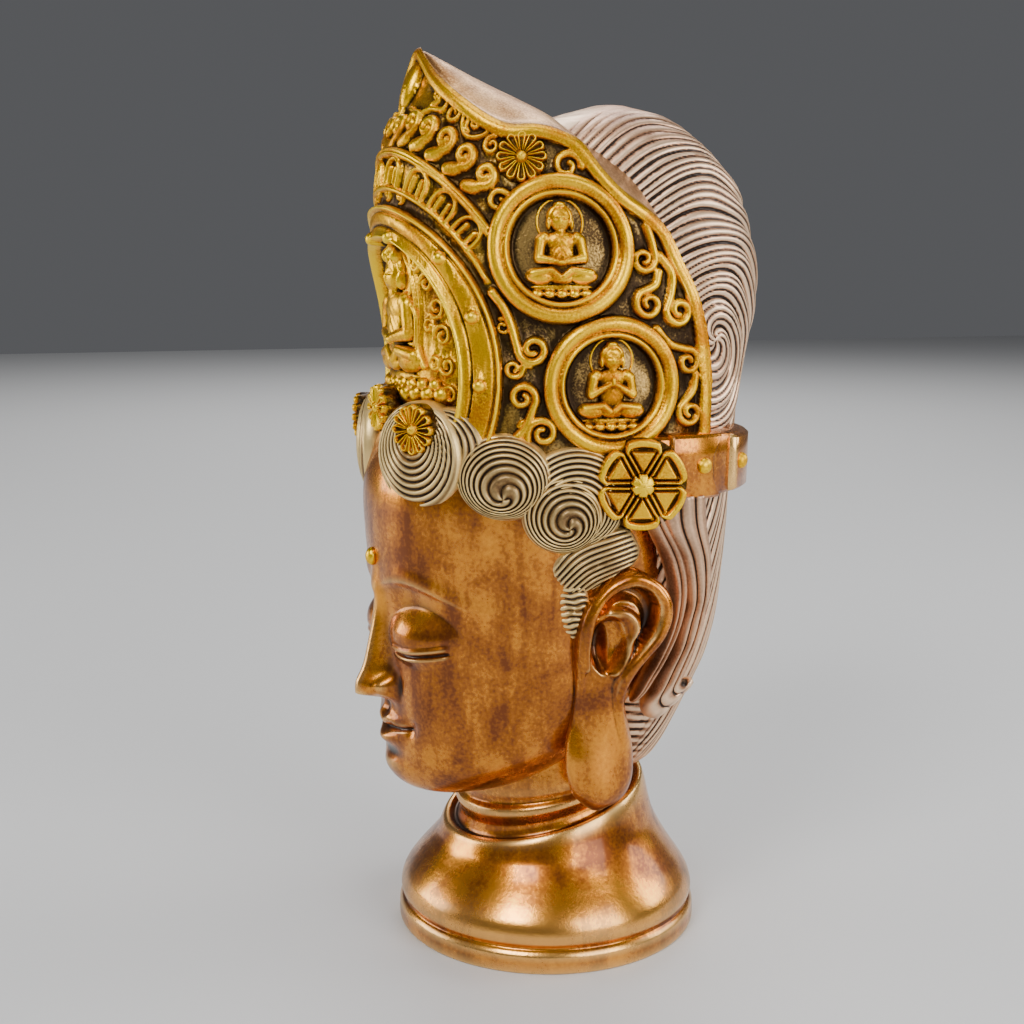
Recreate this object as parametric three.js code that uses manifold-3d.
// A cast bronze Guanyin head with a tall relief crown, standing on its own flared neck.
// One casting, in millimetres: +Z up, the face towards -Y, the origin at the centre of the underside.
import * as THREE from "three";
import { ParametricGeometry } from "three/addons/geometries/ParametricGeometry.js";
import { mergeVertices } from "three/addons/utils/BufferGeometryUtils.js";
import Module from "manifold-3d";

const wasm = await Module();
wasm.setup();

// Main heights of the casting
const HEIGHT = 400; // underside to the crown's peak
const MM = HEIGHT / 400; // a millimetre of the carving, which keeps its proportions to the height
const STAND_RADIUS = 71;
const STAND_LIP_HEIGHT = 11;
const COLLAR_RADIUS = 49.5;
const COLLAR_HEIGHT = 48;
const COLLAR_CLIMB = 24; // how much higher the collar stands at the nape than under the chin
const NECK_RADIUS = 43.5;
const CHIN_HEIGHT = 71 * MM;
const BROW_HEIGHT = 167 * MM;
const NOSE_BASE_HEIGHT = 119 * MM;
const MOUTH_HEIGHT = 103 * MM;
const CROWN_FOOT_HEIGHT = 212 * MM;

// How full the plan sections are: 2 is an ellipse
const SECTION_POWER = 2.1;
const WELD_MM = 1e-3;

// Rows of lengths, and the lengths of a form that has other numbers too, at the size of this head
const carved = (rows) => rows.map((row) => row.map((length) => length * MM));
function sized({ u, z, radius, rise = 0, lift = 0, ...shape }) {
  return { u: u * MM, z: z * MM, radius: radius * MM, rise: rise * MM, lift: lift * MM, ...shape };
}

// Everything on the crown is placed by u, the distance round it from its front line, and by height z.
const CROWN_HALF_LENGTH = 157 * MM;
const NICHE_CENTRE_HEIGHT = 262 * MM;
const NICHE_OUTER = { halfWidth: 67 * MM, rise: 72 * MM };
const NICHE_INNER = { halfWidth: 49 * MM, rise: 58 * MM };
const LAPPET_ARCH = { halfWidth: 80 * MM, rise: 94 * MM };
const MEDALLIONS = [
  { u: 91.5, z: 314.5, radius: 30.5 },
  { u: 112.5, z: 259, radius: 29 },
].map(sized);
const RING_WIDTH = 8.5 * MM;
const COILS = [
  { u: 29, z: 235, radius: 24, rise: 10.5, turn: 1 },
  { u: 68, z: 221, radius: 20.5, rise: 9, turn: 1 },
  { u: 93, z: 206, radius: 17.5, rise: 8, turn: -1 },
].map(sized);
const ROSETTE = sized({ u: 124, z: 218.5, radius: 19.5, lift: 6, petals: 8, turned: 0.2 });
const DAISIES = [
  { u: 0, z: 247, radius: 10, petals: 6, lift: 2 },
  { u: 31, z: 240, radius: 10, petals: 6, lift: 9 },
  { u: 76, z: 351, radius: 10, petals: 6, lift: 1 },
].map(sized);
const HEADBAND = { low: 211 * MM, high: 238 * MM, thickness: 4 * MM };
const BACK_TAB = { halfWidth: 22 * MM, thickness: 7.5 * MM };

// A smooth curve through rows of [place, value], held level outside them.
function eased(rows, at) {
  if (at <= rows[0][0]) return rows[0][1];
  const last = rows.length - 1;
  if (at >= rows[last][0]) return rows[last][1];
  const i = rows.findIndex((row) => row[0] > at) - 1;
  const slope = (a, b) => (rows[b][1] - rows[a][1]) / (rows[b][0] - rows[a][0]);
  const tangent = (k) => (k === 0 ? slope(0, 1) : k === last ? slope(last - 1, last) : slope(k - 1, k + 1));
  const span = rows[i + 1][0] - rows[i][0];
  const t = (at - rows[i][0]) / span;
  const rise = (3 - 2 * t) * t * t;
  const enter = t * (1 - t) * (1 - t) * span * tangent(i);
  const leave = t * t * (t - 1) * span * tangent(i + 1);
  return rows[i][1] + (rows[i + 1][1] - rows[i][1]) * rise + enter + leave;
}

const power = (value, exponent) => Math.sign(value) * Math.abs(value) ** exponent;
const bump = (distance, reach) => Math.exp(-((distance / reach) ** 2));

// A closed three.js surface as a solid: shared corners welded, collapsed triangles dropped.
function solidOf(geometry) {
  const bare = geometry.index ? geometry.toNonIndexed() : geometry.clone();
  bare.deleteAttribute("normal");
  bare.deleteAttribute("uv");
  const welded = mergeVertices(bare, WELD_MM);
  const kept = [];
  for (let i = 0; i < welded.index.count; i += 3) {
    const [a, b, c] = [0, 1, 2].map((k) => welded.index.getX(i + k));
    if (a !== b && b !== c && c !== a) kept.push(a, b, c);
  }
  const vertProperties = new Float32Array(welded.attributes.position.array);
  const make = (triVerts) => new wasm.Manifold(new wasm.Mesh({ numProp: 3, vertProperties, triVerts }));
  const made = make(new Uint32Array(kept));
  return made.volume() > 0 ? made : make(new Uint32Array(kept).reverse());
}

// A closed surface from point(around, along), both from 0 to 1.
function form(point, around, along) {
  const place = (a, b, target) => target.set(...point(a, b));
  return solidOf(new ParametricGeometry(place, around, along));
}

// A stack of closed plan sections: section(z, turn) gives x and y, and the two ends close to a point.
function stack(heights, section, around) {
  const rows = heights.length + 1;
  const tip = (z) => {
    const [near, far] = [section(z, 0), section(z, 0.5)];
    return [(near[0] + far[0]) / 2, (near[1] + far[1]) / 2, z];
  };
  const point = (turn, along) => {
    const row = Math.round(along * rows);
    if (row === 0) return tip(heights[0]);
    if (row === rows) return tip(heights[rows - 2]);
    const z = heights[row - 1];
    return [...section(z, turn % 1), z];
  };
  return form(point, around, rows);
}

// One point of a plan section, by its angle from the front: the widest place is at y = centre.
function oval(angle, halfWidth, front, centre, back) {
  const forward = power(Math.cos(angle), 2 / SECTION_POWER);
  const reach = forward > 0 ? centre - front : back - centre;
  return [halfWidth * power(Math.sin(angle), 2 / SECTION_POWER), centre - reach * forward];
}

// Plan of the crown's outer face at each height
const CROWN_CENTRE = 30 * MM;
const crownHalfWidth = carved([
  [150, 68], [170, 69], [190, 72.5], [215, 75], [260, 76], [300, 75], [340, 70], [370, 63], [400, 55],
]);
const crownFront = carved([
  [170, -77], [215, -78], [300, -78], [337, -77.5], [355, -75], [374, -68], [389, -61.5], [400, -59.5],
]);
const crownBack = carved([[170, 80], [300, 80], [400, 78]]);
const SECTION_REFERENCE_HEIGHT = 260 * MM;

function crownSection(z, angle) {
  return oval(angle, eased(crownHalfWidth, z), eased(crownFront, z), CROWN_CENTRE, eased(crownBack, z));
}

// The angle at each distance round the crown, from a walk along its plan at the reference height.
const WALK_STEPS = 720;
const walk = [[0, 0]];
for (let i = 1; i <= WALK_STEPS; i++) {
  const angle = (Math.PI * i) / WALK_STEPS;
  const [x, y] = crownSection(SECTION_REFERENCE_HEIGHT, angle);
  const [px, py] = crownSection(SECTION_REFERENCE_HEIGHT, walk[i - 1][1]);
  walk.push([walk[i - 1][0] + Math.hypot(x - px, y - py), angle]);
}
const HALF_ROUND = walk[WALK_STEPS][0]; // front line to back line

function angleAt(u) {
  const distance = Math.min(Math.abs(u), HALF_ROUND);
  const i = Math.max(1, walk.findIndex((step) => step[0] >= distance));
  const share = (distance - walk[i - 1][0]) / (walk[i][0] - walk[i - 1][0]);
  return Math.sign(u) * (walk[i - 1][1] + share * (walk[i][1] - walk[i - 1][1]));
}

// A point on the crown's outer face, and the frame that stands on it: right, up and outward.
function crownFace(u, z) {
  const past = Math.abs(u) > HALF_ROUND;
  const around = past ? u - 2 * HALF_ROUND * Math.sign(u) : u;
  return new THREE.Vector3(...crownSection(z, angleAt(around)), z);
}

function crownFrame(u, z) {
  const NEAR = 0.5;
  const right = crownFace(u + NEAR, z).sub(crownFace(u - NEAR, z)).normalize();
  const rise = crownFace(u, z + NEAR).sub(crownFace(u, z - NEAR)).normalize();
  const outward = new THREE.Vector3().crossVectors(right, rise).normalize();
  return { right, up: new THREE.Vector3().crossVectors(outward, right), outward };
}

function onCrown(u, z, lift) {
  return crownFace(u, z).addScaledVector(crownFrame(u, z).outward, lift).toArray();
}

// The stand and neck in one profile: lip, round shoulder, cove, a collar that climbs to the nape,
// and two neck folds. Each row is [radius, height, how much of the collar's climb it takes].
function standAndNeck() {
  const SHOULDER = STAND_RADIUS - 1 * MM;
  const profile = [
    [0, 0, 0],
    [STAND_RADIUS, 0, 0],
    [STAND_RADIUS, STAND_LIP_HEIGHT - 2 * MM, 0],
    [SHOULDER - 1.5 * MM, STAND_LIP_HEIGHT, 0],
    [SHOULDER, STAND_LIP_HEIGHT + 4 * MM, 0],
    [SHOULDER - 3.5 * MM, STAND_LIP_HEIGHT + 12 * MM, 0],
    [SHOULDER - 9 * MM, STAND_LIP_HEIGHT + 20 * MM, 0.1],
    [COLLAR_RADIUS + 5 * MM, COLLAR_HEIGHT - 10 * MM, 0.3],
    [COLLAR_RADIUS + 1 * MM, COLLAR_HEIGHT - 3 * MM, 0.6],
    [COLLAR_RADIUS - 1 * MM, COLLAR_HEIGHT, 1],
    [NECK_RADIUS - 0.5 * MM, COLLAR_HEIGHT, 1],
    [NECK_RADIUS - 2.5 * MM, COLLAR_HEIGHT + 5 * MM, 0.9],
    [NECK_RADIUS, COLLAR_HEIGHT + 11 * MM, 0.8],
    [NECK_RADIUS - 2.5 * MM, COLLAR_HEIGHT + 16 * MM, 0.7],
    [NECK_RADIUS - 2 * MM, CHIN_HEIGHT + 20 * MM, 0.2],
    [0, CHIN_HEIGHT + 40 * MM, 0],
  ];
  const AROUND = 26;
  const point = (turn, along) => {
    const [radius, z, climb] = profile[Math.round(along * (profile.length - 1))];
    const angle = 2 * Math.PI * (turn % 1);
    const backward = (1 - Math.cos(angle)) / 2;
    const drawnIn = 1 - 0.06 * climb * backward;
    const height = z + climb * COLLAR_CLIMB * backward;
    return [radius * drawnIn * Math.sin(angle), -radius * drawnIn * Math.cos(angle), height];
  };
  return form(point, AROUND, profile.length - 1);
}

// The head below the hair: face, cheeks, jaw and skull as plan sections from chin to crown.
const headFront = carved([
  [71, -62], [74, -71], [80, -75.5], [90, -78], [110, -79], [135, -80.5], [165, -83], [190, -86],
  [215, -86], [240, -78], [262, -66],
]);
const headBack = carved([
  [71, -38], [74, -25], [80, -8], [90, 8], [110, 34], [135, 54], [165, 66], [200, 70], [262, 62],
]);
const headHalfWidth = carved([
  [71, 15], [74, 25], [80, 36], [90, 47], [105, 56], [125, 63], [150, 67], [190, 68.5], [215, 68],
  [240, 64], [262, 56],
]);
const URNA = { radius: 4 * MM, z: 184 * MM };

// How far the carved face stands in front of the plain head, at x across and z up.
function faceRelief(x, z) {
  const side = Math.abs(x) / MM;
  const above = (height) => (z - height) / MM;
  const noseRoot = BROW_HEIGHT - 4 * MM;
  const alongNose = THREE.MathUtils.clamp((noseRoot - z) / (noseRoot - NOSE_BASE_HEIGHT), 0, 1);
  const underNose = z < NOSE_BASE_HEIGHT ? bump(above(NOSE_BASE_HEIGHT), 3.5) : 1;
  const aboveNose = z > noseRoot ? bump(above(noseRoot), 14) : 1;
  const nose = (2.5 + 12.5 * alongNose ** 1.3) * bump(side, 5 + 3.5 * alongNose) * underNose * aboveNose;
  const wings = 5 * bump(side - 9, 4.5) * bump(above(NOSE_BASE_HEIGHT) - 4, 5);
  const browLine = 9 * Math.sin(Math.PI * THREE.MathUtils.clamp(side / 52, 0, 1)) - side / 9;
  const overBrow = above(BROW_HEIGHT) - browLine;
  const brow = 2 * bump(overBrow, 4) * bump(side - 24, 24);
  const socket = -4.5 * bump(side - 25, 15) * bump(overBrow + 11, 8);
  const overEye = above(BROW_HEIGHT) + 20;
  const lid = 4 * bump(side - 27, 12) * bump(overEye - 3, 6);
  const slit = -1.6 * bump(side - 27, 13) * bump(overEye + 4, 2.5);
  const overMouth = above(MOUTH_HEIGHT);
  const upperLip = 3.6 * bump(side, 13) * bump(overMouth - 4, 3);
  const lowerLip = 4 * bump(side, 10) * bump(overMouth + 5, 3.6);
  const mouthCorner = -2.2 * bump(side - 18, 5) * bump(overMouth, 5);
  const underLip = -2 * bump(side, 12) * bump(overMouth + 13, 4);
  const chin = 3 * bump(side, 14) * bump(above(CHIN_HEIGHT) - 13, 9);
  const eye = socket + lid + slit;
  return MM * (nose + wings + brow + eye + upperLip + lowerLip + mouthCorner + underLip + chin);
}

function head() {
  const FACE_COLUMNS_SHARE = 0.63; // share of the columns that the front of the head takes
  const FACE_TURN_SHARE = 0.34; // share of the half turn that the front of the head takes
  const COLUMNS = 28;
  const CENTRE_SHARE = 0.6; // where the widest place lies between the front and the back
  const rows = [71, 75, 84, 97, 101, 104, 108, 114, 119, 123, 132, 142, 146, 151, 159, 167, 174, 187, 210];
  const heights = [...rows, 262].map((z) => z * MM);
  const section = (z, turn) => {
    const signed = turn > 0.5 ? turn - 1 : turn;
    const share = Math.abs(signed) * 2;
    const faceSpread = (share / FACE_COLUMNS_SHARE) * FACE_TURN_SHARE;
    const backShare = (share - FACE_COLUMNS_SHARE) / (1 - FACE_COLUMNS_SHARE);
    const backSpread = FACE_TURN_SHARE + backShare * (1 - FACE_TURN_SHARE);
    const spread = share < FACE_COLUMNS_SHARE ? faceSpread : backSpread;
    const angle = Math.PI * spread * Math.sign(signed);
    const [front, back] = [eased(headFront, z), eased(headBack, z)];
    const centre = front + (back - front) * CENTRE_SHARE;
    const [x, y] = oval(angle, eased(headHalfWidth, z), front, centre, back);
    return [x, y - faceRelief(x, z) * THREE.MathUtils.smoothstep(Math.cos(angle), 0.2, 0.6)];
  };
  const urna = new THREE.SphereGeometry(URNA.radius, 7, 5).scale(1, 0.8, 1);
  urna.translate(0, eased(headFront, URNA.z) - URNA.radius / 8, URNA.z);
  return stack(heights, section, COLUMNS).add(solidOf(urna));
}

// The hair mass behind the ears and crown, from the nape to the top of the bun, with combed grooves.
const hairBack = carved([
  [78, 40], [86, 48], [104, 55], [124, 65], [136, 70.5], [156, 75.5], [193, 79.5], [215, 82], [249, 87],
  [271, 91.5], [289, 97], [307, 99], [324, 96.5], [346, 90], [364, 73], [375, 56], [380, 38],
]);
const hairFront = carved([
  [78, 2], [124, -14], [200, -25], [240, -48], [340, -50], [360, -36], [370, -14], [375, 4], [380, 22],
]);
const hairHalfWidth = carved([
  [78, 34], [86, 43], [104, 55], [124, 62], [136, 65], [156, 67.5], [193, 69.5], [215, 70], [249, 70],
  [271, 69], [289, 67], [307, 64], [324, 59], [346, 50], [364, 38], [375, 23], [380, 8],
]);
const SWIRL = { y: 52 * MM, z: 300 * MM, side: 58 * MM };

// Grooves of the bun run in arcs about a swirl on each side; those of the nape fall straight.
function hairGroove(x, y, z) {
  const NAPE_GROOVES = 18;
  const ARC_SPACING = 15 * MM;
  if (z < HEADBAND.low) return 1.3 * MM * Math.cos(Math.atan2(x, y - 10 * MM) * NAPE_GROOVES);
  const distance = Math.hypot(y - SWIRL.y, z - SWIRL.z, Math.abs(x) - SWIRL.side);
  return 1.6 * MM * Math.cos((2 * Math.PI * distance) / ARC_SPACING);
}

function hairMass() {
  const COLUMNS = 28;
  const CENTRE_SHARE = 0.52;
  const SMOOTH_ABOVE = 370 * MM;
  const rows = [78, 90, 108, 128, 162, 208, 248, 268, 286, 302, 318, 334, 349, 362, 373, 380];
  const heights = rows.map((z) => z * MM);
  const section = (z, turn) => {
    const angle = 2 * Math.PI * turn;
    const [front, back] = [eased(hairFront, z), eased(hairBack, z)];
    const centre = front + (back - front) * CENTRE_SHARE;
    const [x, y] = oval(angle, eased(hairHalfWidth, z), front, centre, back);
    const groove = z > SMOOTH_ABOVE ? 0 : hairGroove(x, y, z);
    return [x + groove * Math.sin(angle), y - groove * Math.cos(angle)];
  };
  return stack(heights, section, COLUMNS);
}

// The crown: its outer face up to the rim, closed behind by a hood that falls back to the bun.
const rimHeights = carved([
  [0, 400], [4, 399.5], [24, 387], [46, 375], [61, 367], [70, 364], [81, 364], [91, 362], [101, 357],
  [110, 346], [119, 337], [129, 330], [137, 322], [143, 310], [150, 296], [154, 281], [157, 258],
]);
const hoodRidge = carved([[-60, 400], [-48, 394], [-24, 382.5], [-4, 373.5], [20, 360], [50, 300]]);

function crownBody() {
  const COLUMNS = 38;
  const RIM = { width: 7 * MM, lift: 3.2 * MM, bevel: 1.5 * MM, top: MM };
  const HOOD_ROWS = 2;
  // each column's face from its foot to its rim: three plain rows, as shares of its height, and the
  // rim's moulding as [how far below the rim, lift]; then come the hood's rows
  const plain = [1, 0.55, 0.24];
  const moulded = [[RIM.width, 0], [RIM.width - RIM.bevel, RIM.lift], [RIM.bevel, RIM.lift], [0, RIM.top]];
  const faceRows = plain.length + moulded.length;
  const rows = faceRows + HOOD_ROWS;
  const point = (across, along) => {
    const u = (across * 2 - 1) * CROWN_HALF_LENGTH;
    const row = Math.round(along * rows);
    const rimHeight = eased(rimHeights, Math.abs(u));
    if (row === 0) return [0, onCrown(u, CROWN_FOOT_HEIGHT, 0)[1], CROWN_FOOT_HEIGHT - 5 * MM];
    const tall = rimHeight - CROWN_FOOT_HEIGHT;
    if (row <= plain.length) return onCrown(u, rimHeight - tall * plain[row - 1], 0);
    if (row <= faceRows) {
      const [below, lift] = moulded[row - 1 - plain.length];
      return onCrown(u, rimHeight - below, lift);
    }
    const rim = onCrown(u, rimHeight, RIM.top);
    const inward = (row - faceRows) / HOOD_ROWS;
    const crest = Math.max(eased(hoodRidge, rim[1]), rim[2]);
    return [rim[0] * (1 - inward), rim[1], rim[2] + (crest - rim[2]) * Math.sin((inward * Math.PI) / 2)];
  };
  // the last column meets the first across the back
  const closed = (across, along) => {
    const column = Math.round(across * (COLUMNS + 1));
    return point((column % (COLUMNS + 1)) / COLUMNS, along);
  };
  return form(closed, COLUMNS + 1, rows);
}

// A raised moulding on the crown along path(share) = [u, z], tapering to nothing where it is open.
// Its section is given as [across, lift] pairs.
function moulding(path, steps, section, open = true) {
  const sides = section.length;
  const rows = open ? steps + 2 : steps;
  const point = (turn, along) => {
    const row = Math.round(along * rows);
    const share = open ? THREE.MathUtils.clamp((row - 1) / steps, 0, 1) : (row % steps) / steps;
    const [u, z] = path(share);
    if (open && (row === 0 || row === rows)) return onCrown(u, z, 0);
    const NEAR = 1e-3;
    const [u0, z0] = path(share - NEAR);
    const [u1, z1] = path(share + NEAR);
    const length = Math.hypot(u1 - u0, z1 - z0);
    const [across, lift] = section[Math.round(turn * sides) % sides];
    return onCrown(u - ((z1 - z0) / length) * across, z + ((u1 - u0) / length) * across, lift);
  };
  return form(point, sides, rows);
}

const SINK = -2.5 * MM; // how far a moulding's foot lies under the crown's face
const sharpRidge = (half, lift) => [[-half * MM, SINK], [0, lift * MM], [half * MM, SINK]];

// An arch about the niche's centre, from one foot to the other
function archPath({ halfWidth, rise }, footHeight) {
  const foot = Math.asin((NICHE_CENTRE_HEIGHT - footHeight) / rise);
  return (share) => {
    const angle = -foot + (Math.PI + 2 * foot) * share;
    return [-halfWidth * Math.cos(angle), NICHE_CENTRE_HEIGHT + rise * Math.sin(angle)];
  };
}

// A scroll: a spiral that starts on its outer turn and closes on its eye.
function scrollPath(u, z, radius, start, turns) {
  const EYE_SHARE = 0.2;
  return (share) => {
    const r = radius * (1 - share * (1 - EYE_SHARE));
    const angle = 2 * Math.PI * (start + turns * share);
    return [u + r * Math.cos(angle), z + r * Math.sin(angle)];
  };
}

// Puts a shape made about its own centre, with +Z outward, on the crown.
function placed(geometry, u, z, lift) {
  const { right, up, outward } = crownFrame(u, z);
  const frame = new THREE.Matrix4().makeBasis(right, up, outward);
  return solidOf(geometry.applyMatrix4(frame.setPosition(...onCrown(u, z, lift))));
}

// A flower cut in relief: a scalloped disc with one lobe for each petal and a boss in the middle.
function flower(u, z, radius, petals, lift, turned = 0) {
  const NOTCH = 0.86;
  const profile = [[0, 0.32], [0.3, 0.1], [1, 0.2], [0, -0.35]];
  const place = (turn, along, target) => {
    const step = Math.round(turn * petals * 2) % (petals * 2);
    const [share, height] = profile[Math.round(along * (profile.length - 1))];
    const reach = radius * share * (step % 2 && share === 1 ? NOTCH : 1);
    const angle = (Math.PI * step) / petals;
    target.set(reach * Math.cos(angle), reach * Math.sin(angle), radius * height);
  };
  const geometry = new ParametricGeometry(place, petals * 2, profile.length - 1);
  return placed(geometry.rotateY(turned), u, z, lift);
}

// A seated figure in relief: head, chest and crossed legs. Sizes are shares of its height.
function seatedFigure(u, z, height, lift) {
  const blobs = [
    { rise: 0.34, size: [0.13, 0.16, 0.12] },
    { rise: 0.02, size: [0.22, 0.27, 0.13] },
    { rise: -0.3, size: [0.42, 0.14, 0.15] },
  ];
  return blobs.map(({ rise, size }) => {
    const blob = new THREE.SphereGeometry(height, 6, 3).rotateX(Math.PI / 2).scale(...size);
    return placed(blob.translate(0, rise * height, 0), u, z, lift);
  });
}

// A coil of hair: a low dome whose surface winds up to its middle in a spiral strand.
function hairCoil(side, { u, z, radius, rise, turn }) {
  const STRAND = 1.6 * MM;
  const WINDING = 12; // how far the strand turns from the middle to the edge, in radians
  const AROUND = 10;
  const shares = [0.27, 0.55, 0.82, 1];
  const last = shares.length - 1;
  const place = (around, along, target) => {
    const row = Math.round(along * (shares.length + 1));
    if (row === 0) return target.set(0, 0, rise);
    if (row > shares.length) return target.set(0, 0, SINK * 2);
    const share = shares[row - 1];
    const angle = 2 * Math.PI * (around % 1);
    const wound = STRAND * Math.cos(angle * turn * side - share * WINDING);
    const height = row - 1 === last ? SINK * 2 : rise * Math.sqrt(1 - share * share) + wound;
    return target.set(radius * share * Math.cos(angle), radius * share * Math.sin(angle), height);
  };
  return placed(new ParametricGeometry(place, AROUND, shares.length + 1), side * u, z, 0);
}

// The ear: a long plate that stands off the head, hollowed at the bowl, ending in a full lobe.
const earFront = carved([
  [72, -7], [76, -12], [82, -16.5], [94, -19.5], [104, -19], [116, -16.5], [130, -14.5], [146, -15],
  [159, -13], [172, -7], [179, 1],
]);
const earBack = carved([
  [72, -1], [76, 7], [82, 11], [90, 12.5], [101, 11], [114, 6.5], [121, 7], [132, 12], [145, 18],
  [160, 21.5], [172, 18], [179, 10],
]);
const earMiddle = carved([[72, 61], [80, 62], [104, 63.5], [120, 66], [135, 69.5], [160, 72.5], [181, 73]]);
const earThickness = carved([
  [72, 2.5], [76, 6.5], [84, 9], [94, 8.5], [108, 7], [120, 6], [140, 7], [170, 7], [179, 3],
]);
const EAR_TURN = 0.34; // how much further out the ear's back edge stands, for each mm behind its middle
const EAR_BOWL = { reach: [7 * MM, 9.5 * MM, 21 * MM], at: [80.5 * MM, 3 * MM, 151 * MM] };

function ear(side) {
  const heights = [72, 76, 85, 98, 115, 135, 157, 171, 179].map((z) => z * MM);
  const section = (z, turn) => {
    const angle = 2 * Math.PI * turn;
    const [front, back] = [eased(earFront, z), eased(earBack, z)];
    const along = -((back - front) / 2) * Math.cos(angle);
    const tilt = EAR_TURN * THREE.MathUtils.smoothstep(z, 90 * MM, 120 * MM);
    const x = eased(earMiddle, z) + tilt * along + eased(earThickness, z) * Math.sin(angle);
    return [side * x, (front + back) / 2 + along];
  };
  const [x, y, z] = EAR_BOWL.at;
  const bowl = new THREE.SphereGeometry(1, 7, 4).scale(...EAR_BOWL.reach).rotateZ(-side * EAR_TURN);
  return stack(heights, section, 8).subtract(solidOf(bowl.translate(side * x, y, z)));
}

// Locks of hair that fall behind the ear, the wider one flipping out at its end
const LOCKS = [
  {
    path: carved([[74, 22, 207], [74, 33, 176], [71, 27, 149], [68, 19, 128], [66, 26, 117], [64, 38, 126]]),
    halfWidth: 7.5 * MM,
    halfDepth: 6 * MM,
  },
  {
    path: carved([[76, 12, 199], [77, 22, 181], [76, 25, 158], [71, 17, 137]]),
    halfWidth: 4.5 * MM,
    halfDepth: 5 * MM,
  },
];

function sideLock(side, { path, halfWidth, halfDepth }) {
  const curve = new THREE.CatmullRomCurve3(path.map(([x, y, z]) => new THREE.Vector3(side * x, y, z)));
  const steps = path.length - 1;
  const SIDES = 4;
  const point = (turn, along) => {
    const row = Math.round(along * (steps + 2));
    const share = THREE.MathUtils.clamp((row - 1) / steps, 0, 1);
    const centre = curve.getPoint(share);
    if (row === 0 || row === steps + 2) return centre.toArray();
    const run = curve.getTangent(share);
    const outward = new THREE.Vector3(side, 0, 0);
    const across = new THREE.Vector3().crossVectors(run, outward).normalize();
    const depth = new THREE.Vector3().crossVectors(across, run).normalize();
    const angle = 2 * Math.PI * (turn % 1);
    return centre
      .addScaledVector(across, halfWidth * Math.cos(angle))
      .addScaledVector(depth, halfDepth * Math.sin(angle))
      .toArray();
  };
  return form(point, SIDES, steps + 2);
}

// A flat band laid on the crown's line from u = start to u = end
function bandAround(start, end, steps, thickness, halfHeight) {
  const middle = (HEADBAND.low + HEADBAND.high) / 2;
  const section = [[-1, SINK * 3], [-1, thickness], [1, thickness], [1, SINK * 3]];
  const point = (turn, along) => {
    const row = Math.round(along * (steps + 2));
    const u = start + (end - start) * THREE.MathUtils.clamp((row - 1) / steps, 0, 1);
    const closing = row === 0 || row === steps + 2;
    const [across, lift] = closing ? [0, 0] : section[Math.round(turn * section.length) % section.length];
    return onCrown(u, middle + across * halfHeight, lift);
  };
  return form(point, section.length, steps + 2);
}

// The headband runs from one rosette round the back to the other, with a thicker tab behind.
function headband() {
  const START = ROSETTE.u - 4 * MM;
  const half = (HEADBAND.high - HEADBAND.low) / 2;
  const { halfWidth, thickness } = BACK_TAB;
  const round = bandAround(START, 2 * HALF_ROUND - START, 11, HEADBAND.thickness, half);
  return round.add(bandAround(HALF_ROUND - halfWidth, HALF_ROUND + halfWidth, 3, thickness, half - MM));
}

// Scrolls of the crown: the fan above the lappet arch, and the side scrolls with their radii and turns
const FAN_SCROLLS = carved([[6, 366], [18, 367], [29.5, 364], [41, 359], [51.5, 352], [61, 344]]);
const FAN_SCROLL_RADIUS = 6 * MM;
const SIDE_SCROLLS = [
  { u: 79, z: 273, radius: 8, start: 0.45, turns: 0.85 },
  { u: 78, z: 248, radius: 8, start: 0.4, turns: -0.85 },
  { u: 129, z: 295, radius: 8, start: 0.15, turns: -0.85 },
].map(sized);

// Every moulding and figure of one side of the crown; side is 1 or -1.
function crownSideRelief(side) {
  const mirrored = (path) => (share) => {
    const [u, z] = path(share);
    return [side * u, z];
  };
  const relief = [];
  for (const { u, z, radius } of MEDALLIONS) {
    const half = RING_WIDTH / 2;
    const ring = [[-half, SINK], [-half * 0.7, 2.6 * MM], [half * 0.6, 4.2 * MM], [half, SINK]];
    const circle = (share) => {
      const angle = -side * 2 * Math.PI * share;
      return [side * u - (radius - half) * Math.cos(angle), z - (radius - half) * Math.sin(angle)];
    };
    relief.push(moulding(circle, 12, ring, false));
    relief.push(...seatedFigure(side * u, z, radius * 1.2, 0.5 * MM));
  }
  for (const [u, z] of FAN_SCROLLS) {
    const path = scrollPath(u, z, FAN_SCROLL_RADIUS, 0.68, 0.8);
    relief.push(moulding(mirrored(path), 4, sharpRidge(2.6, 3)));
  }
  for (const { u, z, radius, start, turns } of SIDE_SCROLLS) {
    relief.push(moulding(mirrored(scrollPath(u, z, radius, start, turns)), 4, sharpRidge(2.4, 2.8)));
  }
  for (const coil of COILS) relief.push(hairCoil(side, coil));
  for (const { u, z, radius, petals, lift } of DAISIES) {
    if (u > 0 || side > 0) relief.push(flower(side * u, z, radius, petals, lift));
  }
  const { u, z, radius, petals, lift, turned } = ROSETTE;
  relief.push(flower(side * u, z, radius, petals, lift, -side * turned));
  relief.push(ear(side));
  for (const lock of LOCKS) relief.push(sideLock(side, lock));
  return relief;
}

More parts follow.
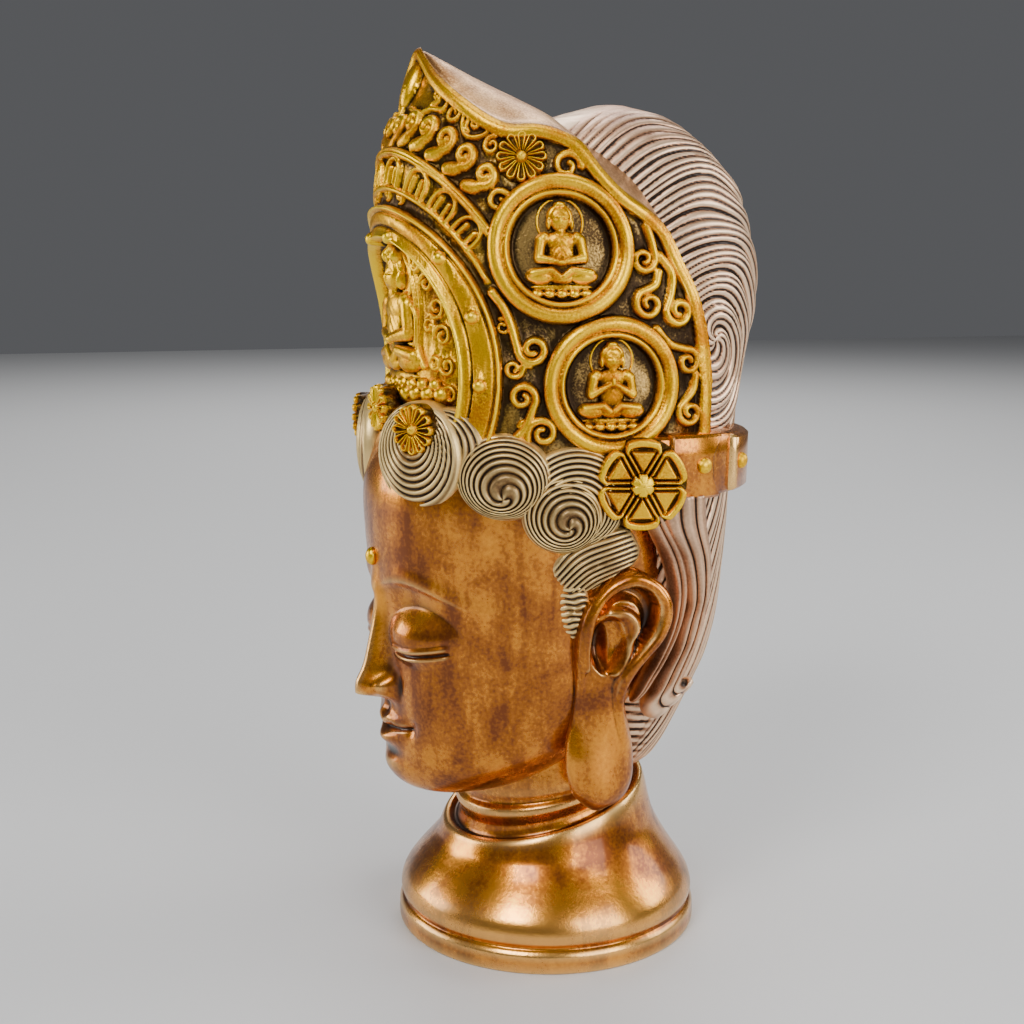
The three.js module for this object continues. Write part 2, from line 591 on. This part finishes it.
// The niche's band, the lappet arch, the niche figure and the bud at the peak.
function crownMiddleRelief() {
  const BAND_FOOT = 236 * MM;
  const BAND_LIFT = 3.6 * MM;
  const LAPPET_FOOT = NICHE_CENTRE_HEIGHT + 40 * MM;
  const bud = new THREE.SphereGeometry(1, 7, 4).scale(5 * MM, 9 * MM, 4.5 * MM);
  const nicheBand = {
    halfWidth: (NICHE_OUTER.halfWidth + NICHE_INNER.halfWidth) / 2,
    rise: (NICHE_OUTER.rise + NICHE_INNER.rise) / 2,
  };
  const half = (NICHE_OUTER.halfWidth - NICHE_INNER.halfWidth) / 2 - MM;
  const band = [[-half, SINK], [-half, BAND_LIFT], [half, BAND_LIFT], [half, SINK]];
  return [
    moulding(archPath(nicheBand, BAND_FOOT), 16, band),
    moulding(archPath(LAPPET_ARCH, LAPPET_FOOT), 10, sharpRidge(2.6, 3)),
    ...seatedFigure(0, 280 * MM, 58 * MM, 0),
    placed(bud, 0, 386 * MM, 0.5 * MM),
  ];
}

// The wave of hair at the temple, over the ear
const WAVE = { u: 109 * MM, z: 184 * MM, reach: [18 * MM, 10 * MM, 6 * MM], slope: 0.5 };

function templeWave(side) {
  const wave = new THREE.SphereGeometry(1, 8, 4).rotateX(Math.PI / 2).scale(...WAVE.reach);
  return placed(wave.rotateZ(side * WAVE.slope), side * WAVE.u, WAVE.z, 0);
}

const pieces = [
  standAndNeck(),
  head(),
  hairMass(),
  crownBody(),
  headband(),
  ...crownMiddleRelief(),
  ...crownSideRelief(1),
  ...crownSideRelief(-1),
  templeWave(1),
  templeWave(-1),
];
const casting = pieces.reduce((whole, piece) => whole.add(piece));

const bronze = new THREE.MeshStandardMaterial({ color: 0x8a4a22, roughness: 0.35, metalness: 0.85 });

function meshOf(solid, name, material) {
  const { numProp, numVert, vertProperties, triVerts } = solid.getMesh();
  const corners = new Float32Array(numVert * 3);
  for (let i = 0; i < numVert; i++) corners.set(vertProperties.subarray(i * numProp, i * numProp + 3), i * 3);
  const geometry = new THREE.BufferGeometry();
  geometry.setAttribute("position", new THREE.BufferAttribute(corners, 3));
  geometry.setIndex(new THREE.BufferAttribute(new Uint32Array(triVerts), 1));
  geometry.computeVertexNormals();
  const mesh = new THREE.Mesh(geometry, material);
  mesh.name = name;
  return mesh;
}

const guanyin = new THREE.Group();
guanyin.name = "guanyin_head";
guanyin.add(meshOf(casting, "head_casting", bronze));

export default guanyin;
